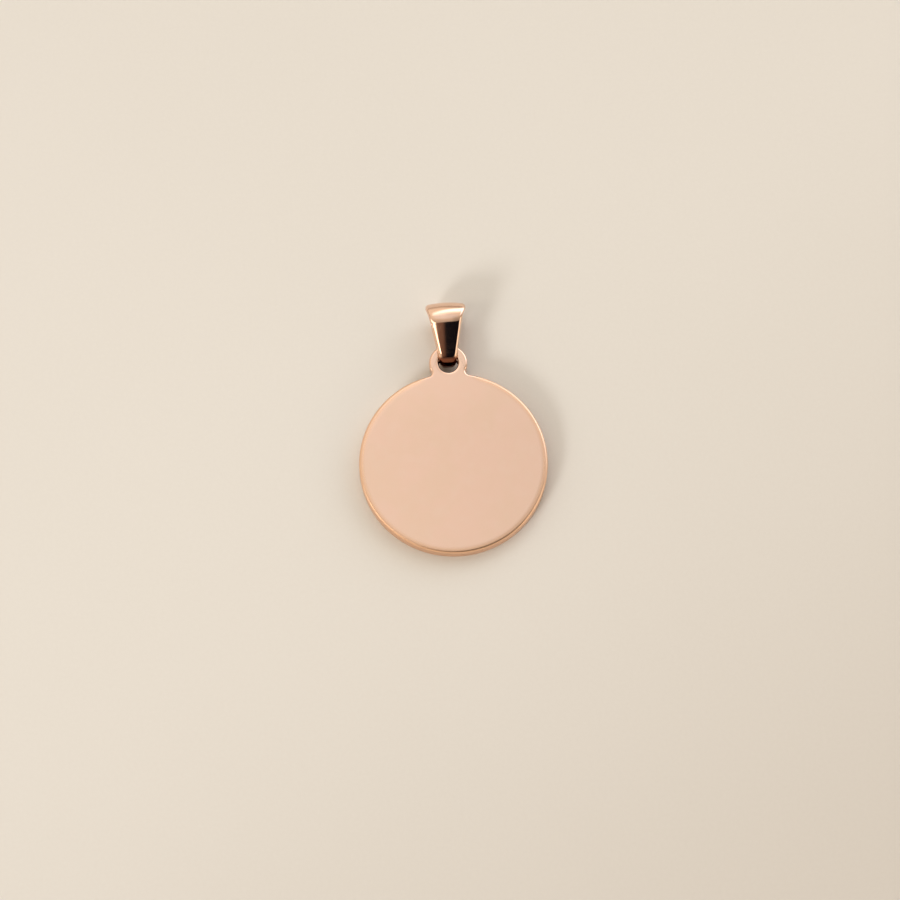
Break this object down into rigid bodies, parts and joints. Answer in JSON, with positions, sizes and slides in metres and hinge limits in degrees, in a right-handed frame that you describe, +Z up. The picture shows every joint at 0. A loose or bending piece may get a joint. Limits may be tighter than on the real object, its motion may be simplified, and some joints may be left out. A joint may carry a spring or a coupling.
{
  "type": "disc pendant",
  "caption": "Plain flat round metal disc with a drilled lug, and a tapered strip bail that swings in the lug's hole, lying face up.",
  "frame": {"origin": "centre of the footprint, on the surface that the pendant lies on", "axes": "+X across the pendant, +Y from the disc towards the bail, +Z up from the surface; the disc's face looks up and leans 2 degrees towards -Y"},
  "size_m": [0.02, 0.028, 0.0043],
  "materials": {
    "disc_metal": "mirror polished, rose gold plated",
    "bail_metal": "bright polished, rose gold plated"
  },
  "bodies": {
    "disc": {"disc": "disc_metal"},
    "bail": {"bail": "bail_metal"}
  },
  "joints": [
    {"name": "bail_swing", "type": "hinge", "parent": "disc", "child": "bail", "pos_m": [0, 0.00851, 0.00155], "axis": [1, 0, 0], "range_deg": [-60, 34]}
  ]
}
